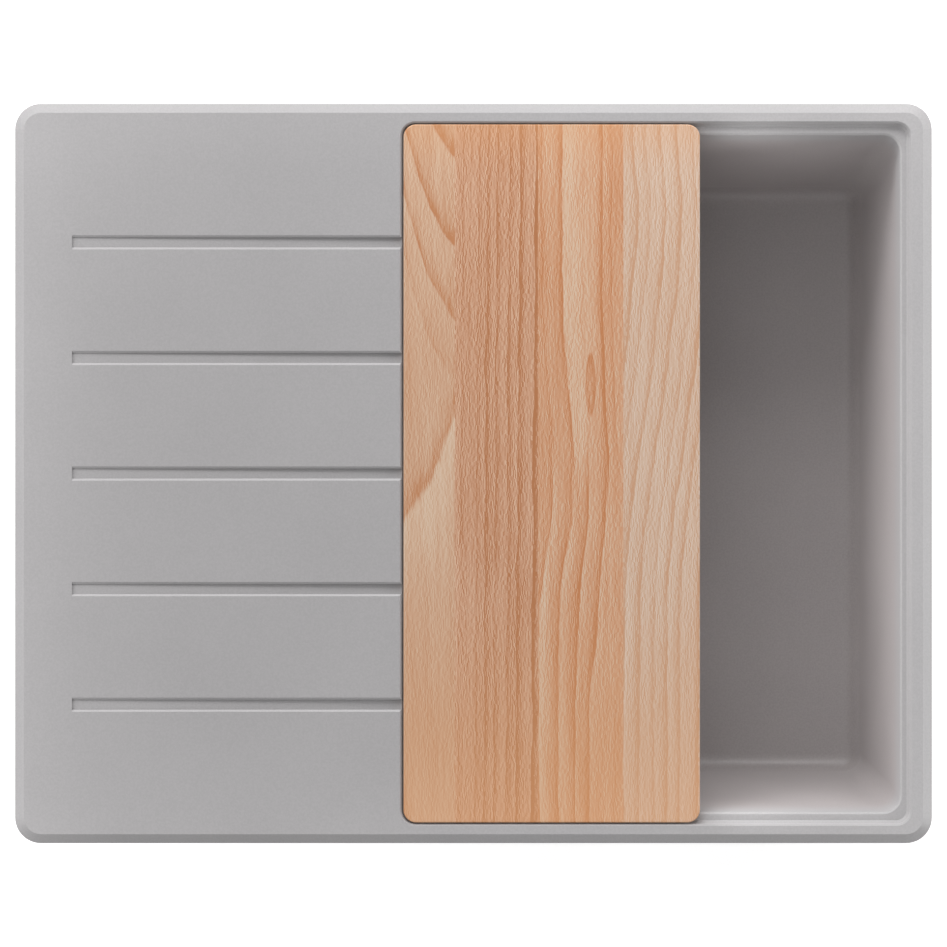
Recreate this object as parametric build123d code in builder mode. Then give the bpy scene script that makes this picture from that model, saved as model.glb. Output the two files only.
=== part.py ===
from build123d import *
import os
from math import atan2, cos, degrees, radians, sin, tan

# Inset kitchen sink of moulded stone composite: a grooved drainer, one bowl with a ledge for a
# sliding wooden board, a basket waste and an overflow. The origin is the centre of the rim on the
# worktop, +X points to the bowl, +Y to the back and +Z up. All lengths are millimetres.

# Rim, lying on the worktop round a cut-out
RIM_LENGTH = 620.0
RIM_WIDTH = 500.0
RIM_CORNER = 17.5
RIM_HEIGHT = 9.0
BEVEL_WIDTH = 6.1
BEVEL_HEIGHT = 4.5
RIM_OVERLAP = 10.0
CUTOUT_GAP = 2.0
SEAL_INSET = 3.0
SEAL_WIDTH = 4.0
SEAL_DEPTH = 1.5

# Drainer slab with stopped grooves above and stiffening ribs below
SLAB_DROP = 2.0
GROOVE_COUNT = 5
GROOVE_PITCH = 78.15
GROOVE_WIDTH = 9.6
GROOVE_EDGE_WIDTH = 1.4
GROOVE_EDGE_DEPTH = 0.9
GROOVE_START_DEPTH = 1.4
GROOVE_END_DEPTH = 3.2
GROOVE_INSET = 38.5
RIB_WIDTH = 6.0
RIB_HEIGHT = 6.0
TAP_RADIUS = 17.5
TAP_TO_BOWL = 50.0
TAP_TO_EDGE = 50.0
TAP_SCORE_WIDTH = 2.0
TAP_SCORE_DEPTH = 6.0

# Recess round the bowl mouth, with the ledge that carries the board
BORDER_SIDE = 15.0
BORDER_FRONT = 13.3
REBATE_LENGTH = 343.4
REBATE_DEPTH = 6.0
REBATE_CORNER = 9.0
REBATE_DRAFT = 2.0
REBATE_FOOT_CHAMFER = 2.2
REBATE_EDGE_CHAMFER = 1.3
LEDGE_LEFT = 5.1
LEDGE_RIGHT = 6.3
LEDGE_FRONT = 7.5

# Bowl
BOWL_DEPTH = 190.0
WALL = 9.0
FLOOR_THICKNESS = 10.0
DRAFT_SIDE = 7.95
DRAFT_BACK = 10.85
DRAFT_FRONT = 8.45
BOWL_ROUND = 12.0
UNDERSIDE_CHAMFER = 14.0
MOUTH_CHAMFER = 1.2
DISH_WIDTH = 22.0
DISH_DEPTH = 1.5

# Board of edge-glued staves
BOARD_WIDTH = 200.4
BOARD_CORNER = 8.5
BOARD_THICKNESS = 18.0
BOARD_LIP = 6.3
BOARD_RABBET = 9.5
BOARD_END_GAP = 0.7
BOARD_REST_GAP = 1.1
BOARD_TOP_CHAMFER = 0.6
BOARD_LIP_CHAMFER = 2.2
BOARD_FOOT_CHAMFER = 2.0
STAVE_WIDTHS = (34.8, 56.1, 57.7)

# Fits shared by all pieces
FIT = 0.05
SEAT_GAP = 0.3

# Waste cup with its flange in the bowl floor
DRAIN_OFFSET = 48.0
RECESS_DEPTH = 3.2
RECESS_GAP = 1.5
FLANGE_WIDTH = 13.5
SHEET = 1.2
CUP_RADIUS = 42.0
CUP_DEPTH = 41.2
CUP_GAP = 1.8
CUP_SLOT_COUNT = 12
CUP_SLOT_WIDTH = 4.0
CUP_SLOT_START = 11.5
CUP_SLOT_END = 26.0
FLANGE_GASKET_HEIGHT = 2.0
WASTE_GASKET_HEIGHT = 3.0
GASKET_MARGIN = 0.8
BOSS_DROP = 3.0

# Waste body under the bowl
BODY_GAP = 1.0
BODY_WALL = 3.0
BODY_FLANGE_WIDTH = 8.0
BODY_FLANGE_HEIGHT = 5.0
BODY_HEIGHT = 46.0
BODY_CONE_HEIGHT = 14.0
OUTLET_RADIUS = 23.9
OUTLET_WALL = 3.9
OUTLET_LENGTH = 29.0
PILLAR_RADIUS = 9.0
SPOKE_COUNT = 3
SPOKE_WIDTH = 4.0
SPOKE_HEIGHT = 10.0
INSERT_RADIUS = 5.5
INSERT_LENGTH = 14.0
SCREW_RADIUS = 3.0
SCREW_LENGTH = 20.0
SCREW_HEAD_RADIUS = 7.0
SCREW_HEAD_HEIGHT = 4.0
SCREW_SOCKET_RADIUS = 3.0
SCREW_SOCKET_DEPTH = 2.0
SCREW_HOLE_GAP = 0.5

# Strainer basket that lifts out of the cup
BASKET_SHEET = 0.8
BASKET_GAP = 1.5
BASKET_SINK = 5.0
BASKET_RIM_WIDTH = 3.5
BASKET_FLOOR_SLOT_COUNT = 12
BASKET_FLOOR_SLOT_WIDTH = 4.0
BASKET_FLOOR_SLOT_START = 13.0
BASKET_FLOOR_SLOT_END = 30.0
BASKET_SIDE_SLOT_COUNT = 12
BASKET_SIDE_SLOT_WIDTH = 4.0
BASKET_SIDE_SLOT_HEIGHT = 11.0
PLUG_MARGIN = 4.0
PLUG_HEIGHT = 9.0
PLUG_HOLLOW_GAP = 3.0
PLUG_WEB = 3.0
STEM_RADIUS = 2.5
STEM_HEAD_RADIUS = 6.0
STEM_HEAD_HEIGHT = 1.2
STEM_END_DEPTH = 7.0
KNOB_RADIUS = 9.5
KNOB_NECK_RADIUS = 4.8
KNOB_NECK_HEIGHT = 13.0
KNOB_HEAD_HEIGHT = 11.0

# Overflow through the bowl wall on the drainer side
OVERFLOW_DROP = 55.0
OVERFLOW_HOLE_RADIUS = 15.0
PLATE_RADIUS = 26.0
PLATE_SHEET = 1.5
PLATE_CROWN = 5.0
PLATE_SLOT_COUNT = 8
PLATE_SLOT_WIDTH = 4.0
PLATE_SLOT_START = 8.5
PLATE_SLOT_END = 20.0
OVERFLOW_GASKET_HEIGHT = 3.0
OVERFLOW_GASKET_MARGIN = 1.0
ELBOW_FLANGE_HEIGHT = 4.0
CHAMBER_RADIUS = 21.0
CHAMBER_LENGTH = 40.0
CHAMBER_BACK = 7.0
OVERFLOW_SCREW_RADIUS = 2.5
OVERFLOW_SCREW_HEAD_RADIUS = 5.0
OVERFLOW_SCREW_HEAD_HEIGHT = 3.0
OVERFLOW_SCREW_SOCKET_RADIUS = 2.2
OVERFLOW_SCREW_SOCKET_DEPTH = 1.5

# Overflow pipe with a compression fitting at each end
PIPE_RADIUS = 12.5
PIPE_WALL = 2.0
SPIGOT_WALL = 4.4
SOCKET_DEPTH = 16.0
SPIGOT_REACH = 24.0
INLET_DROP = 25.0
KNEE_REACH = 40.0
RING_SEAL_HEIGHT = 4.0
RING_SEAL_GAP = 1.2
NUT_WALL = 3.6
NUT_GRIP = 12.0
NUT_END = 4.0
NUT_FLAT_COUNT = 12

# Levels and places that follow from these sizes
LEDGE_Z = RIM_HEIGHT - REBATE_DEPTH
FLOOR_Z = RIM_HEIGHT - BOWL_DEPTH
UNDERSIDE_Z = FLOOR_Z - FLOOR_THICKNESS
SLAB_LENGTH = RIM_LENGTH - 2 * (RIM_OVERLAP + CUTOUT_GAP)
SLAB_WIDTH = RIM_WIDTH - 2 * (RIM_OVERLAP + CUTOUT_GAP)
SLAB_CORNER = max(RIM_CORNER - RIM_OVERLAP - CUTOUT_GAP, CUTOUT_GAP)
REBATE_WIDTH = RIM_WIDTH - 2 * BORDER_FRONT
REBATE_RIGHT = RIM_LENGTH / 2 - BORDER_SIDE
REBATE_LEFT = REBATE_RIGHT - REBATE_LENGTH
REBATE_PLANE = Plane(origin=((REBATE_LEFT + REBATE_RIGHT) / 2, 0, 0))
MOUTH_LEFT = REBATE_LEFT + LEDGE_LEFT
MOUTH_RIGHT = REBATE_RIGHT - LEDGE_RIGHT
MOUTH_LENGTH = MOUTH_RIGHT - MOUTH_LEFT
MOUTH_WIDTH = REBATE_WIDTH - 2 * LEDGE_FRONT
BOWL_X = (MOUTH_LEFT + MOUTH_RIGHT) / 2
BOARD_LENGTH = REBATE_WIDTH - 2 * BOARD_END_GAP
BOARD_LEFT = REBATE_LEFT + BOARD_REST_GAP
BOARD_X = BOARD_LEFT + BOARD_WIDTH / 2
BOARD_PLANE = Plane(origin=(BOARD_X, 0, 0))

DRAIN_X = BOWL_X - DRAIN_OFFSET
DRAIN_PLANE = Plane(origin=(DRAIN_X, 0, 0))
DRAIN_SECTION = Plane(origin=(DRAIN_X, 0, 0), x_dir=(1, 0, 0), z_dir=(0, -1, 0))
DRAIN_AXIS = Axis((DRAIN_X, 0, 0), (0, 0, 1))
FLANGE_RADIUS = CUP_RADIUS + FLANGE_WIDTH
RECESS_RADIUS = FLANGE_RADIUS + RECESS_GAP
DRAIN_HOLE_RADIUS = CUP_RADIUS + SHEET + CUP_GAP
DISH_RADIUS = RECESS_RADIUS + DISH_WIDTH
DISH_Z = FLOOR_Z - DISH_DEPTH
RECESS_Z = DISH_Z - RECESS_DEPTH
FLANGE_TOP_Z = RECESS_Z + FLANGE_GASKET_HEIGHT + SHEET
CUP_FLOOR_Z = FLANGE_TOP_Z - CUP_DEPTH
CUP_UNDERSIDE_Z = CUP_FLOOR_Z - SHEET
BOSS_Z = UNDERSIDE_Z - BOSS_DROP
BODY_INNER = DRAIN_HOLE_RADIUS + BODY_GAP
BODY_OUTER = BODY_INNER + BODY_WALL
BODY_FLANGE_RADIUS = BODY_INNER + BODY_FLANGE_WIDTH
BOSS_RADIUS = max(RECESS_RADIUS, BODY_FLANGE_RADIUS) + BODY_WALL
BODY_TOP_Z = BOSS_Z - WASTE_GASKET_HEIGHT
CONE_Z = BODY_TOP_Z - BODY_HEIGHT
OUTLET_Z = CONE_Z - BODY_CONE_HEIGHT
OUTLET_END_Z = OUTLET_Z - OUTLET_LENGTH
OUTLET_BORE = OUTLET_RADIUS - OUTLET_WALL
SCREW_HOLE_RADIUS = SCREW_RADIUS + SCREW_HOLE_GAP
INSERT_END_Z = CUP_UNDERSIDE_Z - INSERT_LENGTH

PLUG_RADIUS = CUP_SLOT_END + PLUG_MARGIN
PLUG_TOP_Z = CUP_FLOOR_Z + PLUG_HEIGHT
BASKET_FLOOR_Z = PLUG_TOP_Z + BASKET_SHEET
BASKET_TOP_Z = FLANGE_TOP_Z - BASKET_SINK
BASKET_RIM_RADIUS = CUP_RADIUS - BASKET_GAP
BASKET_RADIUS = BASKET_RIM_RADIUS - BASKET_RIM_WIDTH
PLUG_HOLLOW_RADIUS = SCREW_HEAD_RADIUS + PLUG_HOLLOW_GAP
PLUG_WEB_Z = PLUG_TOP_Z - PLUG_WEB
KNOB_HEAD_Z = BASKET_FLOOR_Z + KNOB_NECK_HEIGHT
KNOB_TOP_Z = KNOB_HEAD_Z + KNOB_HEAD_HEIGHT
STEM_TOP_Z = KNOB_HEAD_Z + STEM_END_DEPTH

LEAN = radians(DRAFT_SIDE)
OVERFLOW_Z = RIM_HEIGHT - OVERFLOW_DROP
OVERFLOW_X = MOUTH_LEFT + (LEDGE_Z - OVERFLOW_Z) * tan(LEAN)
INTO_BOWL = Vector(cos(LEAN), 0, sin(LEAN))
DOWN_WALL = Vector(sin(LEAN), 0, -cos(LEAN))
OVERFLOW_POINT = Vector(OVERFLOW_X, 0, OVERFLOW_Z)
OVERFLOW_PLANE = Plane(origin=OVERFLOW_POINT, x_dir=(0, 1, 0), z_dir=INTO_BOWL)
OVERFLOW_SECTION = Plane(origin=OVERFLOW_POINT, x_dir=INTO_BOWL, z_dir=(0, -1, 0))
OVERFLOW_AXIS = Axis(OVERFLOW_POINT, INTO_BOWL)
WALL_BACK = -WALL * cos(LEAN)
GASKET_BACK = WALL_BACK - OVERFLOW_GASKET_HEIGHT
ELBOW_FLANGE_BACK = GASKET_BACK - ELBOW_FLANGE_HEIGHT
CHAMBER_END = ELBOW_FLANGE_BACK - CHAMBER_LENGTH
CHAMBER_FLOOR = CHAMBER_END + CHAMBER_BACK
CHAMBER_MIDDLE = ELBOW_FLANGE_BACK - CHAMBER_LENGTH / 2

PIPE_BORE = PIPE_RADIUS - PIPE_WALL
SOCKET_RADIUS = PIPE_RADIUS + FIT
SPIGOT_RADIUS = SOCKET_RADIUS + SPIGOT_WALL
NUT_BORE = SPIGOT_RADIUS + FIT
NUT_RADIUS = NUT_BORE + NUT_WALL
NUT_LENGTH = NUT_GRIP + RING_SEAL_HEIGHT + NUT_END
CHAMBER_POINT = OVERFLOW_POINT + INTO_BOWL * CHAMBER_MIDDLE
UPPER_REACH = CHAMBER_RADIUS + SPIGOT_REACH
UPPER_FITTING = Plane(origin=CHAMBER_POINT + DOWN_WALL * UPPER_REACH, x_dir=(0, 1, 0), z_dir=DOWN_WALL)
INLET_Z = BODY_TOP_Z - INLET_DROP
INLET_START = Vector(DRAIN_X - BODY_INNER + SPIGOT_RADIUS / 2, 0, INLET_Z)
INLET_PLANE = Plane(origin=INLET_START, x_dir=(0, 1, 0), z_dir=(-1, 0, 0))
KNEE_POINT = Vector(CHAMBER_POINT.X + (CHAMBER_POINT.Z - INLET_Z) * tan(LEAN), 0, INLET_Z)
UP_WALL = DOWN_WALL * -1
LOWER_FITTING = Plane(origin=KNEE_POINT + UP_WALL * KNEE_REACH, x_dir=(0, 1, 0), z_dir=UP_WALL)
PIPE_PLANE = UPPER_FITTING.offset(-SOCKET_DEPTH)
PIPE_LENGTH = (LOWER_FITTING.origin - UPPER_FITTING.origin).length + 2 * SOCKET_DEPTH

pieces = {}


def drafted_block(top, bottom, wall):
    """The bowl's drafted form between two levels, grown outwards by a wall."""

    def inset(height, draft):
        return (LEDGE_Z - height) * tan(radians(draft)) - wall

    half_width = MOUTH_WIDTH / 2
    with BuildPart() as block:
        with BuildSketch(Plane.XZ):
            with BuildLine():
                Polyline(
                    (MOUTH_LEFT + inset(top, DRAFT_SIDE), top),
                    (MOUTH_RIGHT - inset(top, DRAFT_SIDE), top),
                    (MOUTH_RIGHT - inset(bottom, DRAFT_SIDE), bottom),
                    (MOUTH_LEFT + inset(bottom, DRAFT_SIDE), bottom),
                    close=True,
                )
            make_face()
        extrude(amount=RIM_WIDTH, both=True)
        with BuildSketch(Plane.YZ):
            with BuildLine():
                Polyline(
                    (inset(top, DRAFT_FRONT) - half_width, top),
                    (half_width - inset(top, DRAFT_BACK), top),
                    (half_width - inset(bottom, DRAFT_BACK), bottom),
                    (inset(bottom, DRAFT_FRONT) - half_width, bottom),
                    close=True,
                )
            make_face()
        extrude(amount=RIM_LENGTH, both=True, mode=Mode.INTERSECT)
    return block


def lower_edges(block):
    """The floor edges and rising edges of a drafted block."""
    rising_edges = block.edges().filter_by(lambda edge: abs((edge % 0.5).Z) > 0.5)
    return rising_edges + block.faces().sort_by(Axis.Z)[0].edges()


def ring(plane, outer, inner, height):
    """A flat ring standing on a plane."""
    with BuildPart() as flat_ring:
        with BuildSketch(plane):
            Circle(outer)
            Circle(inner, mode=Mode.SUBTRACT)
        extrude(amount=height)
    return flat_ring


def pipe_nut(fitting):
    """A nut with flats over a spigot's end, with a collar that holds the ring seal."""
    with BuildPart() as nut:
        with BuildSketch(fitting.offset(-NUT_GRIP)):
            RegularPolygon(NUT_RADIUS, NUT_FLAT_COUNT)
        extrude(amount=NUT_LENGTH)
        with BuildSketch(fitting.offset(-NUT_GRIP)):
            Circle(NUT_BORE)
        extrude(amount=NUT_GRIP + RING_SEAL_HEIGHT, mode=Mode.SUBTRACT)
        with BuildSketch(fitting):
            Circle(PIPE_RADIUS + SEAT_GAP)
        extrude(amount=NUT_LENGTH, mode=Mode.SUBTRACT)
    return nut


# Outside and hollow of the bowl
outside_block = drafted_block(0, UNDERSIDE_Z, WALL)
with BuildPart() as bowl_outside:
    add(outside_block.part)
    chamfer(lower_edges(bowl_outside), UNDERSIDE_CHAMFER)
hollow_block = drafted_block(LEDGE_Z, FLOOR_Z, 0)
with BuildPart() as bowl_hollow:
    add(hollow_block.part)
    fillet(lower_edges(bowl_hollow), BOWL_ROUND)

# Recess for the board, with a sloped foot all round
with BuildPart() as rebate_hollow:
    with BuildSketch(REBATE_PLANE.offset(LEDGE_Z)):
        RectangleRounded(REBATE_LENGTH, REBATE_WIDTH, REBATE_CORNER)
    extrude(amount=REBATE_DEPTH, taper=-REBATE_DRAFT)
    chamfer(rebate_hollow.faces().sort_by(Axis.Z)[0].edges(), REBATE_FOOT_CHAMFER)

# One drainer groove: its floor falls towards the bowl and its long edges are sloped
groove_left = GROOVE_INSET - RIM_LENGTH / 2
groove_right = REBATE_LEFT + GROOVE_WIDTH
with BuildPart() as groove_hollow:
    with BuildSketch(Plane.XZ):
        with BuildLine():
            Polyline(
                (groove_left, RIM_HEIGHT),
                (groove_right, RIM_HEIGHT),
                (groove_right, RIM_HEIGHT - GROOVE_END_DEPTH),
                (groove_left, RIM_HEIGHT - GROOVE_START_DEPTH),
                close=True,
            )
        make_face()
    extrude(amount=GROOVE_WIDTH / 2 - GROOVE_EDGE_WIDTH, both=True)
    with BuildSketch(Plane.YZ.offset(groove_left)):
        with BuildLine():
            Polyline(
                (-GROOVE_WIDTH / 2, RIM_HEIGHT),
                (GROOVE_WIDTH / 2, RIM_HEIGHT),
                (GROOVE_WIDTH / 2 - GROOVE_EDGE_WIDTH, RIM_HEIGHT - GROOVE_EDGE_DEPTH),
                (GROOVE_EDGE_WIDTH - GROOVE_WIDTH / 2, RIM_HEIGHT - GROOVE_EDGE_DEPTH),
                close=True,
            )
        make_face()
    extrude(amount=groove_right - groove_left)

# Sink body: rim, drainer, bowl shell and all that is moulded into them
with BuildPart() as sink_body:
    with BuildSketch():
        RectangleRounded(RIM_LENGTH, RIM_WIDTH, RIM_CORNER)
    extrude(amount=RIM_HEIGHT - BEVEL_HEIGHT)
    with BuildSketch(Plane.XY.offset(RIM_HEIGHT - BEVEL_HEIGHT)):
        RectangleRounded(RIM_LENGTH, RIM_WIDTH, RIM_CORNER)
    extrude(amount=BEVEL_HEIGHT, taper=degrees(atan2(BEVEL_WIDTH, BEVEL_HEIGHT)))
    with BuildSketch():
        RectangleRounded(SLAB_LENGTH, SLAB_WIDTH, SLAB_CORNER)
    extrude(amount=-SLAB_DROP)

    # Ribs under the drainer: one round its edge and one between each pair of grooves
    rib_end = MOUTH_LEFT - WALL / 2
    with BuildSketch(Plane.XY.offset(-SLAB_DROP)):
        RectangleRounded(SLAB_LENGTH, SLAB_WIDTH, SLAB_CORNER)
        Rectangle(SLAB_LENGTH - 2 * RIB_WIDTH, SLAB_WIDTH - 2 * RIB_WIDTH, mode=Mode.SUBTRACT)
        with Locations((rib_end, 0)):
            Rectangle(RIM_LENGTH, RIM_WIDTH, align=(Align.MIN, Align.CENTER), mode=Mode.SUBTRACT)
        with Locations((rib_end, 0)):
            with GridLocations(0, GROOVE_PITCH, 1, GROOVE_COUNT - 1):
                Rectangle(rib_end + SLAB_LENGTH / 2, RIB_WIDTH, align=(Align.MAX, Align.CENTER))
    extrude(amount=-RIB_HEIGHT)

    # Outside of the bowl, with a boss round the waste
    add(bowl_outside.part)
    with BuildSketch(DRAIN_PLANE.offset(BOSS_Z)):
        Circle(BOSS_RADIUS)
    extrude(amount=BOSS_DROP)

    # Board recess and bowl, with the edges broken at the rim and at the mouth
    add(rebate_hollow.part, mode=Mode.SUBTRACT)
    rim_face = sink_body.faces().filter_by(Axis.Z).sort_by(Axis.Z)[-1]
    chamfer(rim_face.inner_wires().edges(), REBATE_EDGE_CHAMFER)
    add(bowl_hollow.part, mode=Mode.SUBTRACT)
    level_faces = sink_body.faces().filter_by(Axis.Z)
    ledge_face = level_faces.sort_by(lambda face: abs(face.center().Z - LEDGE_Z))[0]
    chamfer(ledge_face.inner_wires().edges(), MOUTH_CHAMFER)

    # Drainer grooves, stopped on the left and open into the board recess
    with GridLocations(0, GROOVE_PITCH, 1, GROOVE_COUNT):
        add(groove_hollow.part, mode=Mode.SUBTRACT)

    # Waste: a shallow dish in the floor, the flange recess and the hole; then the overflow hole
    with BuildSketch(DRAIN_SECTION):
        with BuildLine():
            Polyline(
                (0, FLOOR_Z),
                (DISH_RADIUS, FLOOR_Z),
                (RECESS_RADIUS, DISH_Z),
                (RECESS_RADIUS, RECESS_Z),
                (0, RECESS_Z),
                close=True,
            )
        make_face()
    revolve(axis=DRAIN_AXIS, mode=Mode.SUBTRACT)
    with BuildSketch(DRAIN_PLANE.offset(BOSS_Z)):
        Circle(DRAIN_HOLE_RADIUS)
    extrude(amount=RECESS_Z - BOSS_Z, mode=Mode.SUBTRACT)
    with BuildSketch(OVERFLOW_PLANE):
        Circle(OVERFLOW_HOLE_RADIUS)
    extrude(amount=2 * WALL, both=True, mode=Mode.SUBTRACT)

    # Groove for the seal under the rim, scored rings for a tap on either side
    with BuildSketch():
        RectangleRounded(
            RIM_LENGTH - 2 * SEAL_INSET, RIM_WIDTH - 2 * SEAL_INSET, RIM_CORNER - SEAL_INSET
        )
        RectangleRounded(
            RIM_LENGTH - 2 * (SEAL_INSET + SEAL_WIDTH),
            RIM_WIDTH - 2 * (SEAL_INSET + SEAL_WIDTH),
            RIM_CORNER - SEAL_INSET - SEAL_WIDTH,
            mode=Mode.SUBTRACT,
        )
    extrude(amount=SEAL_DEPTH, mode=Mode.SUBTRACT)
    tap_y = RIM_WIDTH / 2 - TAP_TO_EDGE
    with BuildSketch(Plane.XY.offset(-SLAB_DROP)):
        with Locations((REBATE_LEFT - TAP_TO_BOWL, tap_y), (REBATE_LEFT - TAP_TO_BOWL, -tap_y)):
            Circle(TAP_RADIUS)
            Circle(TAP_RADIUS - TAP_SCORE_WIDTH, mode=Mode.SUBTRACT)
    extrude(amount=TAP_SCORE_DEPTH, mode=Mode.SUBTRACT)
pieces["sink_body"] = sink_body

# Seal pressed into the groove under the rim
with BuildPart() as rim_seal:
    with BuildSketch():
        RectangleRounded(
            RIM_LENGTH - 2 * (SEAL_INSET + FIT),
            RIM_WIDTH - 2 * (SEAL_INSET + FIT),
            RIM_CORNER - SEAL_INSET - FIT,
        )
        RectangleRounded(
            RIM_LENGTH - 2 * (SEAL_INSET + SEAL_WIDTH - FIT),
            RIM_WIDTH - 2 * (SEAL_INSET + SEAL_WIDTH - FIT),
            RIM_CORNER - SEAL_INSET - SEAL_WIDTH + FIT,
            mode=Mode.SUBTRACT,
        )
    extrude(amount=SEAL_DEPTH)
pieces["rim_seal"] = rim_seal

# Board: a lip on the ledges, a thicker middle that hangs inside the mouth
with BuildPart() as board:
    with BuildSketch(BOARD_PLANE.offset(LEDGE_Z)):
        RectangleRounded(BOARD_WIDTH, BOARD_LENGTH, BOARD_CORNER)
    extrude(amount=BOARD_LIP)
    chamfer(board.faces().sort_by(Axis.Z)[-1].edges(), BOARD_TOP_CHAMFER)
    chamfer(board.faces().sort_by(Axis.Z)[0].edges(), BOARD_LIP_CHAMFER)
    with BuildSketch(BOARD_PLANE.offset(LEDGE_Z)):
        RectangleRounded(
            BOARD_WIDTH - 2 * BOARD_RABBET, BOARD_LENGTH - 2 * BOARD_RABBET, BOARD_CORNER
        )
    extrude(amount=BOARD_LIP - BOARD_THICKNESS)
    chamfer(board.faces().sort_by(Axis.Z)[0].edges(), BOARD_FOOT_CHAMFER)

# The staves are strips of that board, glued edge to edge
stave_edges = [BOARD_LEFT - BOARD_RABBET, BOARD_LEFT]
for width in STAVE_WIDTHS:
    stave_edges.append(stave_edges[-1] + width)
stave_edges.append(BOARD_LEFT + BOARD_WIDTH + BOARD_RABBET)
stave_edges.pop(1)
for number, (left, right) in enumerate(zip(stave_edges, stave_edges[1:]), start=1):
    with BuildPart() as stave:
        add(board.part)
        with BuildSketch(Plane(origin=((left + right) / 2, 0, LEDGE_Z + BOARD_LIP))):
            Rectangle(right - left, RIM_WIDTH)
        extrude(amount=-BOARD_THICKNESS, mode=Mode.INTERSECT)
    pieces[f"board_stave_{number}"] = stave

# Waste cup: a pressed sheet with a flange, a straight wall and a slotted floor
with BuildPart() as strainer_cup:
    with BuildSketch(DRAIN_SECTION):
        with BuildLine():
            Polyline(
                (FLANGE_RADIUS, FLANGE_TOP_Z),
                (CUP_RADIUS, FLANGE_TOP_Z),
                (CUP_RADIUS, CUP_FLOOR_Z),
                (SCREW_HOLE_RADIUS, CUP_FLOOR_Z),
                (SCREW_HOLE_RADIUS, CUP_UNDERSIDE_Z),
                (CUP_RADIUS + SHEET, CUP_UNDERSIDE_Z),
                (CUP_RADIUS + SHEET, FLANGE_TOP_Z - SHEET),
                (FLANGE_RADIUS, FLANGE_TOP_Z - SHEET),
                close=True,
            )
        make_face()
    revolve(axis=DRAIN_AXIS)
    cup_slot_length = CUP_SLOT_END - CUP_SLOT_START
    with BuildSketch(DRAIN_PLANE.offset(CUP_FLOOR_Z)):
        with PolarLocations((CUP_SLOT_START + CUP_SLOT_END) / 2, CUP_SLOT_COUNT):
            Rectangle(cup_slot_length, CUP_SLOT_WIDTH)
    extrude(amount=-2 * SHEET, mode=Mode.SUBTRACT)
pieces["strainer_cup"] = strainer_cup

pieces["flange_gasket"] = ring(
    DRAIN_PLANE.offset(RECESS_Z),
    FLANGE_RADIUS - GASKET_MARGIN,
    DRAIN_HOLE_RADIUS + GASKET_MARGIN,
    FLANGE_GASKET_HEIGHT,
)
pieces["waste_gasket"] = ring(
    DRAIN_PLANE.offset(BODY_TOP_Z),
    BODY_FLANGE_RADIUS - GASKET_MARGIN,
    BODY_INNER + GASKET_MARGIN,
    WASTE_GASKET_HEIGHT,
)

# Waste body: flanged pot, kneed overflow inlet, cone and outlet, and a pillar on spokes for the screw
with BuildPart() as waste_body:
    with BuildSketch(DRAIN_SECTION):
        with BuildLine():
            Polyline(
                (0, BODY_TOP_Z),
                (BODY_FLANGE_RADIUS, BODY_TOP_Z),
                (BODY_FLANGE_RADIUS, BODY_TOP_Z - BODY_FLANGE_HEIGHT),
                (BODY_OUTER, BODY_TOP_Z - BODY_FLANGE_HEIGHT),
                (BODY_OUTER, CONE_Z),
                (OUTLET_RADIUS, OUTLET_Z),
                (OUTLET_RADIUS, OUTLET_END_Z),
                (0, OUTLET_END_Z),
                close=True,
            )
        make_face()
    revolve(axis=DRAIN_AXIS)
    with BuildLine() as inlet_path:
        Polyline(INLET_START, KNEE_POINT, LOWER_FITTING.origin)
    with BuildSketch(INLET_PLANE):
        Circle(SPIGOT_RADIUS)
    sweep(path=inlet_path.wire(), transition=Transition.RIGHT)
    with BuildSketch(DRAIN_SECTION):
        with BuildLine():
            Polyline(
                (0, BODY_TOP_Z),
                (BODY_INNER, BODY_TOP_Z),
                (BODY_INNER, CONE_Z),
                (OUTLET_BORE, OUTLET_Z),
                (OUTLET_BORE, OUTLET_END_Z),
                (0, OUTLET_END_Z),
                close=True,
            )
        make_face()
    revolve(axis=DRAIN_AXIS, mode=Mode.SUBTRACT)
    with BuildSketch(DRAIN_PLANE.offset(CONE_Z)):
        Circle(PILLAR_RADIUS)
    extrude(amount=CUP_UNDERSIDE_Z - CONE_Z)
    with BuildSketch(DRAIN_PLANE.offset(CONE_Z)):
        spoke_length = BODY_INNER + BODY_WALL / 2
        with PolarLocations(spoke_length / 2, SPOKE_COUNT):
            Rectangle(spoke_length, SPOKE_WIDTH)
    extrude(amount=SPOKE_HEIGHT)
    with BuildSketch(INLET_PLANE):
        Circle(PIPE_BORE)
    sweep(path=inlet_path.wire(), transition=Transition.RIGHT, mode=Mode.SUBTRACT)
    with BuildSketch(LOWER_FITTING):
        Circle(SOCKET_RADIUS)
    extrude(amount=-SOCKET_DEPTH, mode=Mode.SUBTRACT)
    with BuildSketch(DRAIN_PLANE.offset(CUP_UNDERSIDE_Z)):
        Circle(INSERT_RADIUS)
    extrude(amount=-INSERT_LENGTH, mode=Mode.SUBTRACT)
    with BuildSketch(DRAIN_PLANE.offset(CUP_UNDERSIDE_Z)):
        Circle(SCREW_HOLE_RADIUS)
    extrude(amount=-BODY_HEIGHT, mode=Mode.SUBTRACT)
pieces["waste_body"] = waste_body

pieces["screw_insert"] = ring(
    DRAIN_PLANE.offset(INSERT_END_Z), INSERT_RADIUS - FIT, SCREW_RADIUS + FIT, INSERT_LENGTH
)

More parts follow.
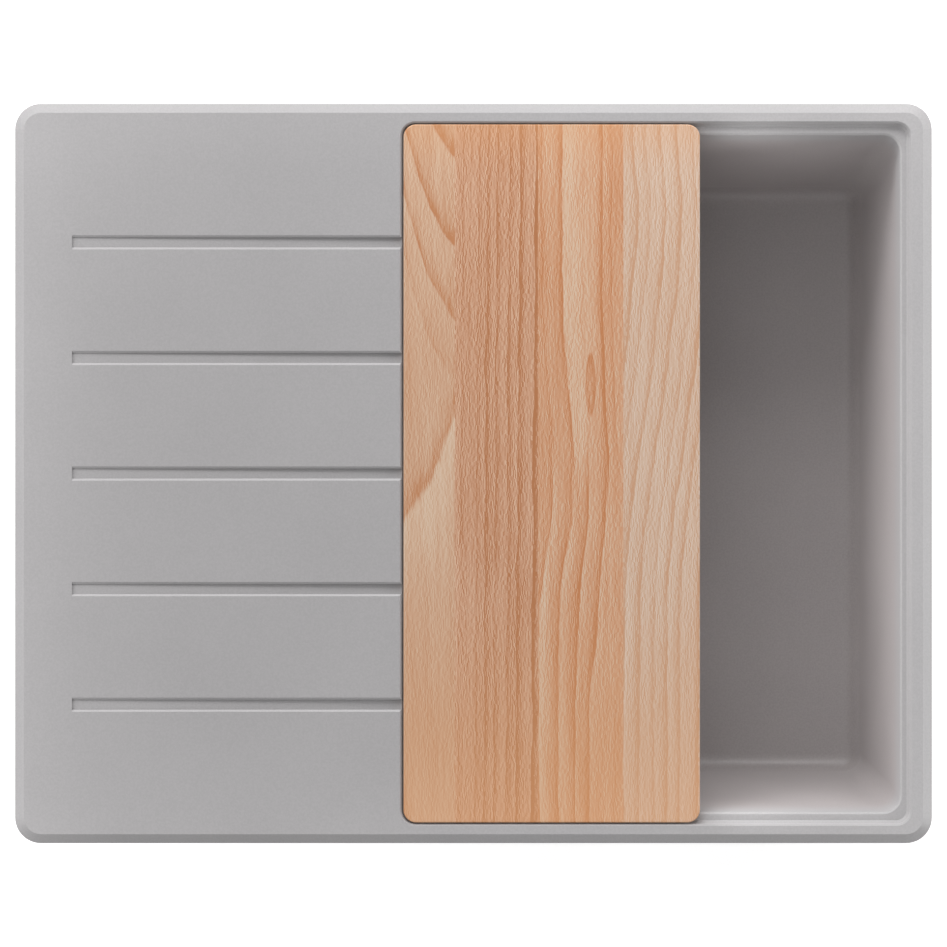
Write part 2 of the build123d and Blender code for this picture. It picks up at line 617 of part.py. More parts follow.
# Screw through the cup floor into the insert
with BuildPart() as waste_screw:
    with BuildSketch(DRAIN_PLANE.offset(CUP_FLOOR_Z)):
        Circle(SCREW_HEAD_RADIUS)
    extrude(amount=SCREW_HEAD_HEIGHT)
    with BuildSketch(DRAIN_PLANE.offset(CUP_FLOOR_Z)):
        Circle(SCREW_RADIUS)
    extrude(amount=-SCREW_LENGTH)
    with BuildSketch(DRAIN_PLANE.offset(CUP_FLOOR_Z + SCREW_HEAD_HEIGHT)):
        RegularPolygon(SCREW_SOCKET_RADIUS, 6)
    extrude(amount=-SCREW_SOCKET_DEPTH, mode=Mode.SUBTRACT)
pieces["waste_screw"] = waste_screw

# Strainer basket: a pressed sheet with a rim and slots in wall and floor
with BuildPart() as strainer_basket:
    with BuildSketch(DRAIN_SECTION):
        with BuildLine():
            Polyline(
                (BASKET_RIM_RADIUS, BASKET_TOP_Z),
                (BASKET_RADIUS, BASKET_TOP_Z),
                (BASKET_RADIUS, BASKET_FLOOR_Z),
                (STEM_RADIUS + FIT, BASKET_FLOOR_Z),
                (STEM_RADIUS + FIT, PLUG_TOP_Z),
                (BASKET_RADIUS + BASKET_SHEET, PLUG_TOP_Z),
                (BASKET_RADIUS + BASKET_SHEET, BASKET_TOP_Z - BASKET_SHEET),
                (BASKET_RIM_RADIUS, BASKET_TOP_Z - BASKET_SHEET),
                close=True,
            )
        make_face()
    revolve(axis=DRAIN_AXIS)
    with BuildSketch(DRAIN_PLANE.offset(BASKET_FLOOR_Z)):
        slot_middle = (BASKET_FLOOR_SLOT_START + BASKET_FLOOR_SLOT_END) / 2
        with PolarLocations(slot_middle, BASKET_FLOOR_SLOT_COUNT):
            Rectangle(BASKET_FLOOR_SLOT_END - BASKET_FLOOR_SLOT_START, BASKET_FLOOR_SLOT_WIDTH)
    extrude(amount=-2 * BASKET_SHEET, mode=Mode.SUBTRACT)
    side_slot_z = (BASKET_TOP_Z + BASKET_FLOOR_Z - BASKET_SIDE_SLOT_HEIGHT) / 2
    with BuildSketch(DRAIN_PLANE.offset(side_slot_z)):
        with PolarLocations(BASKET_RADIUS, BASKET_SIDE_SLOT_COUNT):
            Rectangle(2 * BASKET_RIM_WIDTH, BASKET_SIDE_SLOT_WIDTH)
    extrude(amount=BASKET_SIDE_SLOT_HEIGHT, mode=Mode.SUBTRACT)
pieces["strainer_basket"] = strainer_basket

# Rubber plug, hollow over the screw head
with BuildPart() as basket_plug:
    with BuildSketch(DRAIN_SECTION):
        with BuildLine():
            Polyline(
                (PLUG_HOLLOW_RADIUS, CUP_FLOOR_Z),
                (PLUG_RADIUS, CUP_FLOOR_Z),
                (PLUG_RADIUS, PLUG_TOP_Z),
                (STEM_RADIUS + FIT, PLUG_TOP_Z),
                (STEM_RADIUS + FIT, PLUG_WEB_Z),
                (PLUG_HOLLOW_RADIUS, PLUG_WEB_Z),
                close=True,
            )
        make_face()
    revolve(axis=DRAIN_AXIS)
pieces["basket_plug"] = basket_plug

# Pin with a head under the plug, running up into the knob
with BuildPart() as basket_stem:
    with BuildSketch(DRAIN_PLANE.offset(PLUG_WEB_Z)):
        Circle(STEM_HEAD_RADIUS)
    extrude(amount=-STEM_HEAD_HEIGHT)
    with BuildSketch(DRAIN_PLANE.offset(PLUG_WEB_Z)):
        Circle(STEM_RADIUS)
    extrude(amount=STEM_TOP_Z - PLUG_WEB_Z)
pieces["basket_stem"] = basket_stem

# Knob: a neck for the fingers under a wider head
with BuildPart() as basket_knob:
    with BuildSketch(DRAIN_SECTION):
        with BuildLine():
            Polyline(
                (0, BASKET_FLOOR_Z),
                (KNOB_NECK_RADIUS, BASKET_FLOOR_Z),
                (KNOB_NECK_RADIUS, KNOB_HEAD_Z),
                (KNOB_RADIUS, KNOB_HEAD_Z),
                (KNOB_RADIUS, KNOB_TOP_Z),
                (0, KNOB_TOP_Z),
                close=True,
            )
        make_face()
    revolve(axis=DRAIN_AXIS)
    with BuildSketch(DRAIN_PLANE.offset(BASKET_FLOOR_Z)):
        Circle(STEM_RADIUS + FIT)
    extrude(amount=STEM_TOP_Z - BASKET_FLOOR_Z, mode=Mode.SUBTRACT)
pieces["basket_knob"] = basket_knob

# Overflow rosette: a shallow cap with radial slots
with BuildPart() as overflow_plate:
    with BuildSketch(OVERFLOW_SECTION):
        with BuildLine():
            Polyline(
                (0, PLATE_RADIUS),
                (PLATE_CROWN, PLATE_RADIUS),
                (PLATE_CROWN, OVERFLOW_SCREW_RADIUS + SEAT_GAP),
                (PLATE_CROWN - PLATE_SHEET, OVERFLOW_SCREW_RADIUS + SEAT_GAP),
                (PLATE_CROWN - PLATE_SHEET, PLATE_RADIUS - PLATE_SHEET),
                (0, PLATE_RADIUS - PLATE_SHEET),
                close=True,
            )
        make_face()
    revolve(axis=OVERFLOW_AXIS)
    with BuildSketch(OVERFLOW_PLANE):
        with PolarLocations((PLATE_SLOT_START + PLATE_SLOT_END) / 2, PLATE_SLOT_COUNT):
            Rectangle(PLATE_SLOT_END - PLATE_SLOT_START, PLATE_SLOT_WIDTH)
    extrude(amount=PLATE_CROWN, mode=Mode.SUBTRACT)
pieces["overflow_plate"] = overflow_plate

pieces["overflow_gasket"] = ring(
    OVERFLOW_PLANE.offset(GASKET_BACK),
    PLATE_RADIUS - OVERFLOW_GASKET_MARGIN,
    OVERFLOW_HOLE_RADIUS + OVERFLOW_GASKET_MARGIN,
    OVERFLOW_GASKET_HEIGHT,
)

# Overflow elbow: a flanged chamber whose back takes the screw, with a spigot down the wall
with BuildPart() as overflow_elbow:
    with BuildSketch(OVERFLOW_SECTION):
        with BuildLine():
            Polyline(
                (GASKET_BACK, 0),
                (GASKET_BACK, PLATE_RADIUS),
                (ELBOW_FLANGE_BACK, PLATE_RADIUS),
                (ELBOW_FLANGE_BACK, CHAMBER_RADIUS),
                (CHAMBER_END, CHAMBER_RADIUS),
                (CHAMBER_END, 0),
                close=True,
            )
        make_face()
    revolve(axis=OVERFLOW_AXIS)
    with BuildSketch(UPPER_FITTING):
        Circle(SPIGOT_RADIUS)
    extrude(amount=-UPPER_REACH)
    with BuildSketch(OVERFLOW_PLANE.offset(GASKET_BACK)):
        Circle(OVERFLOW_HOLE_RADIUS)
    extrude(amount=CHAMBER_FLOOR - GASKET_BACK, mode=Mode.SUBTRACT)
    with BuildSketch(UPPER_FITTING):
        Circle(SOCKET_RADIUS)
    extrude(amount=-SOCKET_DEPTH, mode=Mode.SUBTRACT)
    with BuildSketch(UPPER_FITTING):
        Circle(PIPE_BORE)
    extrude(amount=-UPPER_REACH, mode=Mode.SUBTRACT)
    with BuildSketch(OVERFLOW_PLANE.offset(CHAMBER_END)):
        Circle(OVERFLOW_SCREW_RADIUS + FIT)
    extrude(amount=CHAMBER_BACK, mode=Mode.SUBTRACT)
pieces["overflow_elbow"] = overflow_elbow

# Screw through the rosette into the back of the elbow
with BuildPart() as overflow_screw:
    with BuildSketch(OVERFLOW_PLANE.offset(PLATE_CROWN)):
        Circle(OVERFLOW_SCREW_HEAD_RADIUS)
    extrude(amount=OVERFLOW_SCREW_HEAD_HEIGHT)
    with BuildSketch(OVERFLOW_PLANE.offset(PLATE_CROWN)):
        Circle(OVERFLOW_SCREW_RADIUS)
    extrude(amount=CHAMBER_END - PLATE_CROWN)
    with BuildSketch(OVERFLOW_PLANE.offset(PLATE_CROWN + OVERFLOW_SCREW_HEAD_HEIGHT)):
        RegularPolygon(OVERFLOW_SCREW_SOCKET_RADIUS, 6)
    extrude(amount=-OVERFLOW_SCREW_SOCKET_DEPTH, mode=Mode.SUBTRACT)
pieces["overflow_screw"] = overflow_screw

# Straight rigid pipe down the bowl wall, from socket to socket
pieces["overflow_pipe"] = ring(PIPE_PLANE, PIPE_RADIUS, PIPE_BORE, PIPE_LENGTH)
pieces["upper_pipe_nut"] = pipe_nut(UPPER_FITTING)
pieces["lower_pipe_nut"] = pipe_nut(LOWER_FITTING)

# Ring seals between each spigot's end and the collar of its nut
with BuildPart() as pipe_seals:
    for fitting in (UPPER_FITTING, LOWER_FITTING):
        with BuildSketch(fitting):
            Circle(SPIGOT_RADIUS - RING_SEAL_GAP)
            Circle(SOCKET_RADIUS, mode=Mode.SUBTRACT)
        extrude(amount=RING_SEAL_HEIGHT)
pieces["pipe_seals"] = pipe_seals

os.makedirs("parts", exist_ok=True)
for label, piece in pieces.items():
    piece.part.label = label
    export_step(piece.part, f"parts/{label}.step")
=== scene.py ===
from math import pi

import bpy
from mathutils import Matrix, Vector


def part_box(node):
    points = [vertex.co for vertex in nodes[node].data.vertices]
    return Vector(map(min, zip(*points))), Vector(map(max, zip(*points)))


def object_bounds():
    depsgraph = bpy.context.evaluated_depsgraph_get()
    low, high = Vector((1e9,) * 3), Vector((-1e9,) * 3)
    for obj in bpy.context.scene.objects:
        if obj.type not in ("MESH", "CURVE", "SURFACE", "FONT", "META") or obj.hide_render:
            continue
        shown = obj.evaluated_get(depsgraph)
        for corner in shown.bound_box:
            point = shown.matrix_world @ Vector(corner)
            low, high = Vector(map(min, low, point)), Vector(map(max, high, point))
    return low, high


# Looks of an inset kitchen sink with drainer and sliding board, seen straight from above.
# The origin is the centre of the rim on the worktop, +X points to the bowl, +Y to the back.

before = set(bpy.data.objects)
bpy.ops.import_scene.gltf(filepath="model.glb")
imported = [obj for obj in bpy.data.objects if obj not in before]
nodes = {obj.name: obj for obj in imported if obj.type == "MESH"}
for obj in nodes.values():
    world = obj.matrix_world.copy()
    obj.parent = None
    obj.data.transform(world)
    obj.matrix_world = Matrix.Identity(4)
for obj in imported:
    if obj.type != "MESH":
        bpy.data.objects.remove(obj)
cad_low, cad_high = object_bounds()

# View: the photograph's square frame, straight down on the rim through a very long lens
PHOTO_PIXELS = 947
PIXELS_PER_METRE = 1479.0
SENSOR = 36.0
LENS = 1000.0
VIEW_REACH = 100.0

# Light of the surroundings: soft lobes, each with the direction that it comes from, how narrow it
# is and a radiance
SKY = {
    "left_high": ((-1, 0, 1), 4, 0.61),
    "zenith": ((0, 0, 1), 24, 0.51),
    "back_skim": ((0, 1, 0.25), 16, 3.81),
    "back_left": ((-1, 1, 0.8), 8, 2.44),
}

# Lamps close to the sink: where each one is, what it is aimed at, its length and width, a radiance
LAMPS = {
    "lamp_back": ((0, 0.265, 0.060), (0, 0.205, 0), 0.72, 0.03, 0.59),
    "lamp_front": ((0, -0.265, 0.060), (0, -0.205, 0), 0.72, 0.03, 0.55),
    "lamp_left": ((-0.325, 0, 0.060), (-0.265, 0, 0), 0.60, 0.03, 1.12),
    "lamp_right": ((0.325, 0, 0.060), (0.265, 0, 0), 0.60, 0.03, 0.57),
    "lamp_bowl_left": ((0.176, 0, 0.030), (0.296, 0, -0.090), 0.44, 0.03, 2.85),
}

# Large soft boxes further away, laid out alike, which glossy surfaces reflect
SOFT_BOXES = {
    "lamp_soft_back": ((0.2, 1.45, 0.95), (0.2, -0.19, -0.17), 1.80, 0.60, 6.16),
    "lamp_soft_front": ((0.2, -1.45, 0.95), (0.2, 0.19, -0.17), 1.80, 0.60, 1.38),
    "lamp_soft_left": ((-1.70, 0, 0.50), (-0.31, 0, 0), 1.80, 0.50, 1.62),
    "lamp_soft_right": ((1.70, 0, 0.50), (0.31, 0, 0), 1.80, 0.50, 4.90),
}

# Floor below the waste outlet
FLOOR_GAP = 0.004
FLOOR_SIZE = 8.0
FLOOR_COLOUR = 0.85
FLOOR_GLOW = 0.52
WHITE = (1.0, 1.0, 1.0, 1.0)

# Stone composite: sizes and depths in metres, pairs from the dark specks to the pale ones, and the
# heights between which the rim's colours give way to those of the bowl
SPECKLE_SIZE = 0.0012
SPECKLE_CONTRAST = (0.30, 0.70)
SPECKLE_SHARE = 0.6
CLOUD_SIZE = 0.090
CLOUD_CONTRAST = (0.2, 0.8)
RIM_COLOURS = ((163, 161, 162), (173, 171, 172))
BOWL_COLOURS = ((162, 156, 156), (176, 170, 170))
BOWL_COLOUR_HEIGHTS = (-0.004, -0.030)
STONE_DIFFUSE_ROUGHNESS = 0.6
STONE_ROUGHNESS = (0.36, 0.46)
STONE_RELIEF_SIZE = 0.0011
STONE_RELIEF_DEPTH = 0.00004

# Fittings: the pieces that each material dresses, how metallic it is, its grain across and along Y
# in metres and how fine that is, pairs of colours and of roughness at the ends of the grain's range,
# and the grain across and along Y and the depth of its relief
FITTINGS = {
    "brushed_steel": dict(
        pieces=(
            "strainer_cup",
            "strainer_basket",
            "basket_stem",
            "basket_knob",
            "overflow_plate",
            "overflow_screw",
            "waste_screw",
        ),
        metallic=1.0,
        grain=(0.0004, 0.0200),
        detail=2.0,
        colours=((196, 194, 190), (214, 213, 210)),
        roughness=(0.22, 0.40),
        relief=(0.0004, 0.0200, 0.00001),
    ),
    "seal_rubber": dict(
        pieces=(
            "rim_seal",
            "flange_gasket",
            "waste_gasket",
            "overflow_gasket",
            "pipe_seals",
            "basket_plug",
        ),
        metallic=0.0,
        grain=(0.004, 0.004),
        detail=4.0,
        colours=((30, 30, 31), (48, 48, 48)),
        roughness=(0.62, 0.82),
        relief=(0.0008, 0.0008, 0.00004),
    ),
    "waste_plastic": dict(
        pieces=(
            "waste_body",
            "overflow_elbow",
            "overflow_pipe",
            "upper_pipe_nut",
            "lower_pipe_nut",
        ),
        metallic=0.0,
        grain=(0.020, 0.020),
        detail=3.0,
        colours=((222, 222, 219), (232, 232, 230)),
        roughness=(0.35, 0.50),
        relief=(0.0015, 0.0015, 0.00003),
    ),
    "turned_brass": dict(
        pieces=("screw_insert",),
        metallic=1.0,
        grain=(0.0005, 0.0005),
        detail=2.0,
        colours=((190, 150, 80), (214, 180, 110)),
        roughness=(0.25, 0.40),
        relief=None,
    ),
}

# Beech: sizes of its variations across and along the grain, in metres
SWAY_SIZE = (0.030, 0.070)
BEND_SIZE = (0.0090, 0.0280)
FIBRE_SIZE = (0.0012, 0.0100)
FADING_SIZE = (0.0050, 0.0600)
STREAK_SIZE = (0.0040, 0.120)
PATCH_SIZE = (0.024, 0.110)
GRAIN_SIZE = (0.0007, 0.0160)
FLECK_SIZE = (0.0007, 0.0030)

# How far the variations move the year rings, in millimetres, and how far a metre of depth does
MILLIMETRES = 1000.0
SWAY_SHIFT = 3.0
BEND_SHIFT = 3.0
FIBRE_SHIFT = 0.8
DEPTH_SHIFT = 600.0

# Tone of the wood about its middle: what each variation adds, and what the pale and dark sides of a
# ring's edge do where the edge fades and where it doesn't
MIDDLE = 0.5
STREAK_TONE = 0.5
PATCH_TONE = 0.4
GRAIN_TONE = 0.35
EARLY_TONE = (0.4, 0.6)
LATE_TONE = (0.5, 0.8)
FADING_CONTRAST = (0.30, 0.65)

# Late wood: a sharp line at the ring's edge, and a broad shade for the rest
LINE_POWER = 6.0
LINE_SHARE = 0.7

# Flecks: how many widths they bend, how they lean with depth, how many lengths their columns differ
FLECK_BEND = 1.5
FLECK_LEAN = 0.6
FLECK_SPREAD = 9.0

# Warmer wood towards the front and back ends: where it starts and ends in millimetres, its share
WARM_ENDS = ((-60, -240, 0.40), (200, 240, 0.30))
WARM_COLOUR = (196, 143, 98)
WOOD_ROUGHNESS = 0.45
WOOD_ROUGHNESS_SPREAD = 0.15
WOOD_RELIEF_DEPTH = 0.00002


def srgb(red, green, blue):
    """A colour written as display values from 0 to 255, for a shader socket."""

    def linear(value):
        share = value / 255
        return share / 12.92 if share <= 0.04045 else ((share + 0.055) / 1.055) ** 2.4

    return (linear(red), linear(green), linear(blue), 1.0)


class Field:
    """A number that varies over a surface, worked out by shader nodes."""

    def __init__(self, tree, socket):
        self.tree = tree
        self.socket = socket

    def apply(self, operation, *others):
        """One step of shader arithmetic with this number first."""
        node = self.tree.nodes.new("ShaderNodeMath")
        node.operation = operation
        for place, value in enumerate((self, *others)):
            if isinstance(value, Field):
                self.tree.links.new(value.socket, node.inputs[place])
            else:
                node.inputs[place].default_value = value
        return Field(self.tree, node.outputs[0])

    def __add__(self, other):
        return self.apply("ADD", other)

    def __sub__(self, other):
        return self.apply("SUBTRACT", other)

    def __mul__(self, other):
        return self.apply("MULTIPLY", other)

    def __truediv__(self, other):
        return self.apply("DIVIDE", other)

    def __neg__(self):
        return self * -1.0

    def between(self, first, last):
        """Runs from first to last as this number goes from 0 to 1."""
        return self * (last - first) + first

    def fade(self, start, end):
        """0 before start, 1 after end and smooth between them; start may be the larger."""
        node = self.tree.nodes.new("ShaderNodeMapRange")
        node.interpolation_type = "SMOOTHSTEP"
        self.tree.links.new(self.socket, node.inputs["Value"])
        low, high, first, last = (start, end, 0.0, 1.0) if start < end else (end, start, 1.0, 0.0)
        node.inputs["From Min"].default_value = low
        node.inputs["From Max"].default_value = high
        node.inputs["To Min"].default_value = first
        node.inputs["To Max"].default_value = last
        return Field(self.tree, node.outputs["Result"])


def strongest(fields):
    """The largest of several numbers at each point."""
    largest, *others = fields
    for field in others:
        largest = largest.apply("MAXIMUM", field)
    return largest


class Surface:
    """A material being made: its nodes, its shader and the place of a point on the object."""

    def __init__(self, name, metallic=0.0):
        self.material = bpy.data.materials.new(name)
        self.material.use_nodes = True
        self.tree = self.material.node_tree
        self.shader = self.tree.nodes["Principled BSDF"]
        self.shader.inputs["Metallic"].default_value = metallic
        place = self.tree.nodes.new("ShaderNodeTexCoord")
        split = self.tree.nodes.new("ShaderNodeSeparateXYZ")
        self.tree.links.new(place.outputs["Object"], split.inputs[0])
        self.x, self.y, self.z = (Field(self.tree, socket) for socket in split.outputs)

    def noise(self, across, along, detail=2.0, seed=0.0):
        """Noise from 0 to 1 with a grain size across and along Y, in metres."""
        join = self.tree.nodes.new("ShaderNodeCombineXYZ")
        for place, value in enumerate((self.x / across, self.y / along, self.z / across)):
            self.tree.links.new(value.socket, join.inputs[place])
        node = self.tree.nodes.new("ShaderNodeTexNoise")
        node.noise_dimensions = "4D"
        node.inputs["W"].default_value = seed
        node.inputs["Scale"].default_value = 1.0
        node.inputs["Detail"].default_value = detail
        self.tree.links.new(join.outputs[0], node.inputs["Vector"])
        return Field(self.tree, node.outputs[0])

    def chance(self, *values):
        """A number from 0 to 1, drawn anew for each set of up to three values."""
        join = self.tree.nodes.new("ShaderNodeCombineXYZ")
        for place, value in enumerate(values):
            self.tree.links.new(value.socket, join.inputs[place])
        node = self.tree.nodes.new("ShaderNodeTexWhiteNoise")
        node.noise_dimensions = "3D"
        self.tree.links.new(join.outputs[0], node.inputs["Vector"])
        return Field(self.tree, node.outputs["Value"])

    def dashes(self, width, length, slip):
        """Short marks along Y from -1 to 1, each unlike its neighbours; slip moves them aside."""
        place = (self.x + self.z * FLECK_LEAN) / width + slip
        marks = []
        for step in (0.0, 1.0):
            column = (place + step).apply("FLOOR")
            row = (self.y / length + self.chance(column) * FLECK_SPREAD).apply("FLOOR")
            marks.append(self.chance(column, row))
        return marks[0] - marks[1]

    def mix(self, share, first, second):
        """A colour between two colours."""
        node = self.tree.nodes.new("ShaderNodeMix")
        node.data_type = "RGBA"
        self.tree.links.new(share.socket, node.inputs["Factor"])
        sockets = [socket for socket in node.inputs if socket.type == "RGBA"]
        for socket, colour in zip(sockets, (first, second)):
            if isinstance(colour, bpy.types.NodeSocket):
                self.tree.links.new(colour, socket)
            else:
                socket.default_value = colour
        return next(socket for socket in node.outputs if socket.type == "RGBA")

    def ramp(self, share, *colours):
        """A colour that runs through all the colours as the share goes from 0 to 1."""
        node = self.tree.nodes.new("ShaderNodeValToRGB")
        stops = node.color_ramp.elements
        while len(stops) < len(colours):
            stops.new(0.5)
        for index, colour in enumerate(colours):
            stops[index].position = index / (len(colours) - 1)
            stops[index].color = colour
        self.tree.links.new(share.socket, node.inputs["Fac"])
        return node.outputs["Color"]

    def paint(self, colour):
        """Gives the surface its colour."""
        self.tree.links.new(colour, self.shader.inputs["Base Color"])

    def polish(self, roughness):
        """Gives the surface its roughness."""
        self.tree.links.new(roughness.socket, self.shader.inputs["Roughness"])

    def emboss(self, height, depth):
        """Relief that rises by a depth in metres where the height rises by 1."""
        node = self.tree.nodes.new("ShaderNodeBump")
        node.inputs["Distance"].default_value = depth
        self.tree.links.new(height.socket, node.inputs["Height"])
        self.tree.links.new(node.outputs["Normal"], self.shader.inputs["Normal"])


def composite():
    """Pale grey stone composite: fine speckle, faint clouds, a matt relief and a warmer bowl."""
    surface = Surface("stone_composite")
    surface.shader.inputs["Diffuse Roughness"].default_value = STONE_DIFFUSE_ROUGHNESS
    speckle = surface.noise(SPECKLE_SIZE, SPECKLE_SIZE)
    clouds = surface.noise(CLOUD_SIZE, CLOUD_SIZE, detail=3.0, seed=4.0)
    specks = speckle.fade(*SPECKLE_CONTRAST) * SPECKLE_SHARE
    tone = specks + clouds.fade(*CLOUD_CONTRAST) * (1 - SPECKLE_SHARE)
    rim, bowl = (
        surface.mix(tone, srgb(*dark), srgb(*pale)) for dark, pale in (RIM_COLOURS, BOWL_COLOURS)
    )
    surface.paint(surface.mix(surface.z.fade(*BOWL_COLOUR_HEIGHTS), rim, bowl))
    surface.polish(speckle.between(*STONE_ROUGHNESS))
    relief = surface.noise(STONE_RELIEF_SIZE, STONE_RELIEF_SIZE, seed=9.0)
    surface.emboss(relief, STONE_RELIEF_DEPTH)
    return surface.material


def fitting(name, metallic, grain, detail, colours, roughness, relief):
    """Steel, rubber, plastic or brass, whose colour and gloss vary with its grain."""
    surface = Surface(name, metallic)
    tone = surface.noise(*grain, detail=detail)
    dark, pale = colours
    surface.paint(surface.mix(tone, srgb(*dark), srgb(*pale)))
    surface.polish(tone.between(*roughness))
    if relief:
        relief_across, relief_along, relief_depth = relief
        surface.emboss(surface.noise(relief_across, relief_along), relief_depth)
    return surface.material


# Scales across the year rings of a stave, for places across and along the board in millimetres
def crown_rings(across, along):
    """Rings of a flat-sawn stave: they run down from the left edge to the right one."""
    slope = 4.2
    curve = 0.05
    return -(along + across * slope - across * across * curve)


def arch_rings(across, along):
    """The end of a flat-sawn ring: a low arch that rises to the right."""
    slope = 0.6
    curve = 0.045
    return across * across * curve + across * slope - along


def corner_rings(across, along):
    """Rings that leave the stave at its front left corner."""
    slope = 13.9
    return -(along + across * slope)


def straight_rings(across, along):
    """Rings of a quarter-sawn stave: almost along its length, with the later years to the left."""
    slope = 0.007
    return along * slope - across


def bulging_rings(across, along):
    """Rings that swell to the right in the middle of the stave and lean to the left at its front."""
    rise = 9.0
    fall = 9.5
    left_lean = 7.0
    right_share = 0.5
    swell = along.fade(130, -15) * rise - along.fade(-20, -95) * fall
    lean = along.fade(-80, -170) * across.fade(106, 130) * left_lean
    return across - swell * across.fade(112, 132).between(1.0, right_share) + lean


def eye_rings(across, along):
    """A slender closed ring, cut open where the stave's surface just touches it."""
    centre_across = 126.5
    centre_along = 60.0
    half_width = 3.4
    half_length = 21.0
    edge = 20.0
    aside = (across - centre_across) / half_width
    ahead = (along - centre_along) / half_length
    return (aside * aside + ahead * ahead) * edge


def leaning_rings(across, along):
    """Rings that lean to the left on their way to the front."""
    lean = 29.0
    back_turn = 3.5
    return across + along.fade(190, -110) * lean - along.fade(233, 178) * back_turn


def beech(name, figures, colours, fleck, seed):
    """Oiled beech with its grain along Y and the year rings that its figures give."""
    surface = Surface(name)
    across = (surface.x - board_left) * MILLIMETRES
    along = surface.y * MILLIMETRES

    def variation(size, number, detail=1.0):
        """Noise about 0 of a size across and along, drawn by the stave's seed and a number."""
        return surface.noise(*size, detail=detail, seed=seed + number) - MIDDLE

    sway = variation(SWAY_SIZE, 0)
    bend = variation(BEND_SIZE, 7)
    fibre = variation(FIBRE_SIZE, 1)
    wander = sway * SWAY_SHIFT + bend * BEND_SHIFT + fibre * FIBRE_SHIFT
    wander = wander + (surface.z - board_top) * DEPTH_SHIFT
    late_marks = []
    early_marks = []
    for figure in figures:
        place = figure["rings"](across, along) + wander * figure["wobble"]
        reach = along.fade(*figure["stretch"])
        softness = figure["softness"]
        for edge, late_width, late_depth, early_width, early_depth in figure["years"]:
            ended = place.fade(edge - softness, edge + softness)
            near = place.fade(edge - late_width, edge)
            line = near.apply("POWER", LINE_POWER) * LINE_SHARE + near * (1 - LINE_SHARE)
            late_marks.append(line * ended.between(1.0, 0.0) * reach * late_depth)
            paling = place.fade(edge + early_width, edge) * ended
            early_marks.append(paling * reach * early_depth)
    late = strongest(late_marks)
    early = strongest(early_marks)
    fading = surface.noise(*FADING_SIZE, detail=1.0, seed=seed + 2).fade(*FADING_CONTRAST)
    streak = variation(STREAK_SIZE, 3, detail=3.0)
    patch = variation(PATCH_SIZE, 4)
    grain = variation(GRAIN_SIZE, 6)
    flecks = surface.dashes(*FLECK_SIZE, bend * FLECK_BEND + seed)
    tone = streak * STREAK_TONE + patch * PATCH_TONE + grain * GRAIN_TONE
    tone = tone + early * fading.between(*EARLY_TONE) + MIDDLE
    tone = tone + flecks * fleck - late * fading.between(*LATE_TONE)
    colour = surface.ramp(tone, *(srgb(*stop) for stop in colours))
    warm_front, warm_back = (along.fade(start, end) * share for start, end, share in WARM_ENDS)
    surface.paint(surface.mix(warm_front + warm_back, colour, srgb(*WARM_COLOUR)))
    surface.polish(grain * WOOD_ROUGHNESS_SPREAD + WOOD_ROUGHNESS)
    surface.emboss(grain, WOOD_RELIEF_DEPTH)
    return surface.material


board_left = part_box("board_stave_1")[0].x
board_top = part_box("board_stave_1")[1].z

# Stretches of Y in millimetres over which a figure comes in
ALL_ALONG = (400, 300)
BACK_HALF = (-40, 30)
FRONT_HALF = (40, -30)

